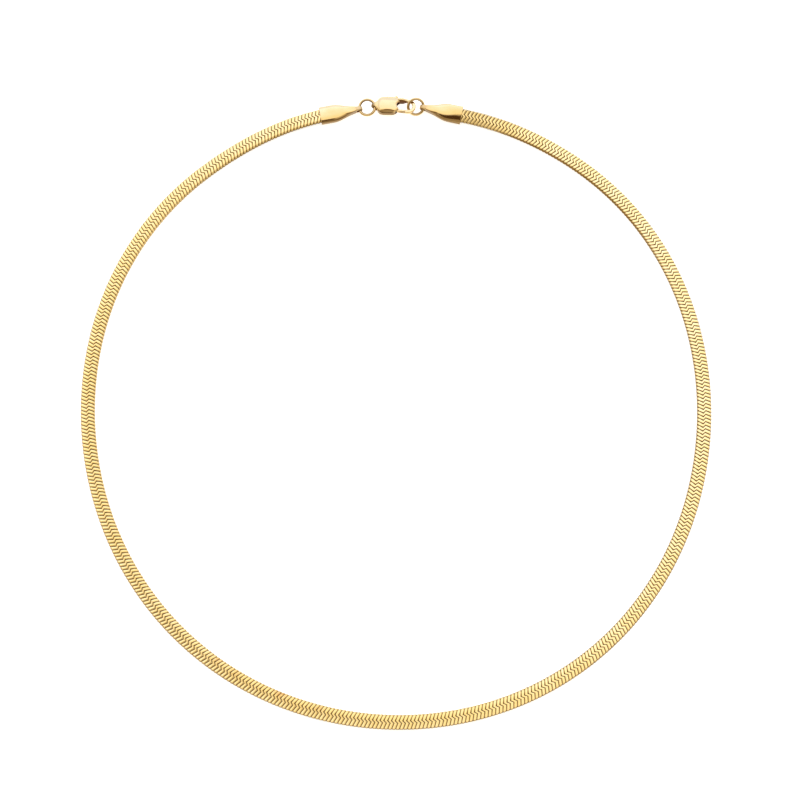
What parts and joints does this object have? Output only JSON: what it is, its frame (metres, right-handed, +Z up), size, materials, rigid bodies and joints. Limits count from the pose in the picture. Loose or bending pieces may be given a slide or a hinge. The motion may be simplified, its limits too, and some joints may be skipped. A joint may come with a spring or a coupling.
{
  "type": "snake chain necklace",
  "caption": "Flat gold snake chain necklace lying closed in a loop, with tapered end caps, jump rings and a lobster clasp.",
  "frame": {"origin": "middle of the footprint, on the surface the necklace lies on", "axes": "+Z up, +Y from the middle of the loop towards the clasp, +X towards the clasp's hook"},
  "size_m": [0.1446, 0.149, 0.003],
  "materials": {
    "chain": "polished, ribbed by the links",
    "findings": "mirror polished"
  },
  "bodies": {
    "necklace": {"chain": "chain", "end_cap_left": "findings", "end_cap_right": "findings", "jump_ring_left": "findings", "jump_ring_right": "findings", "clasp_body": "findings", "clasp_pin": "findings"},
    "lever": {"clasp_lever": "findings"}
  },
  "joints": [
    {"name": "clasp_lever_hinge", "type": "hinge", "parent": "necklace", "child": "lever", "pos_m": [-0.00111, 0.07183, 0.00143], "axis": [0.0044, 0.1564, 0.9877], "range_deg": [0, 12], "stiffness_Nm_per_rad": 0.001, "springref_deg": -8.59}
  ]
}
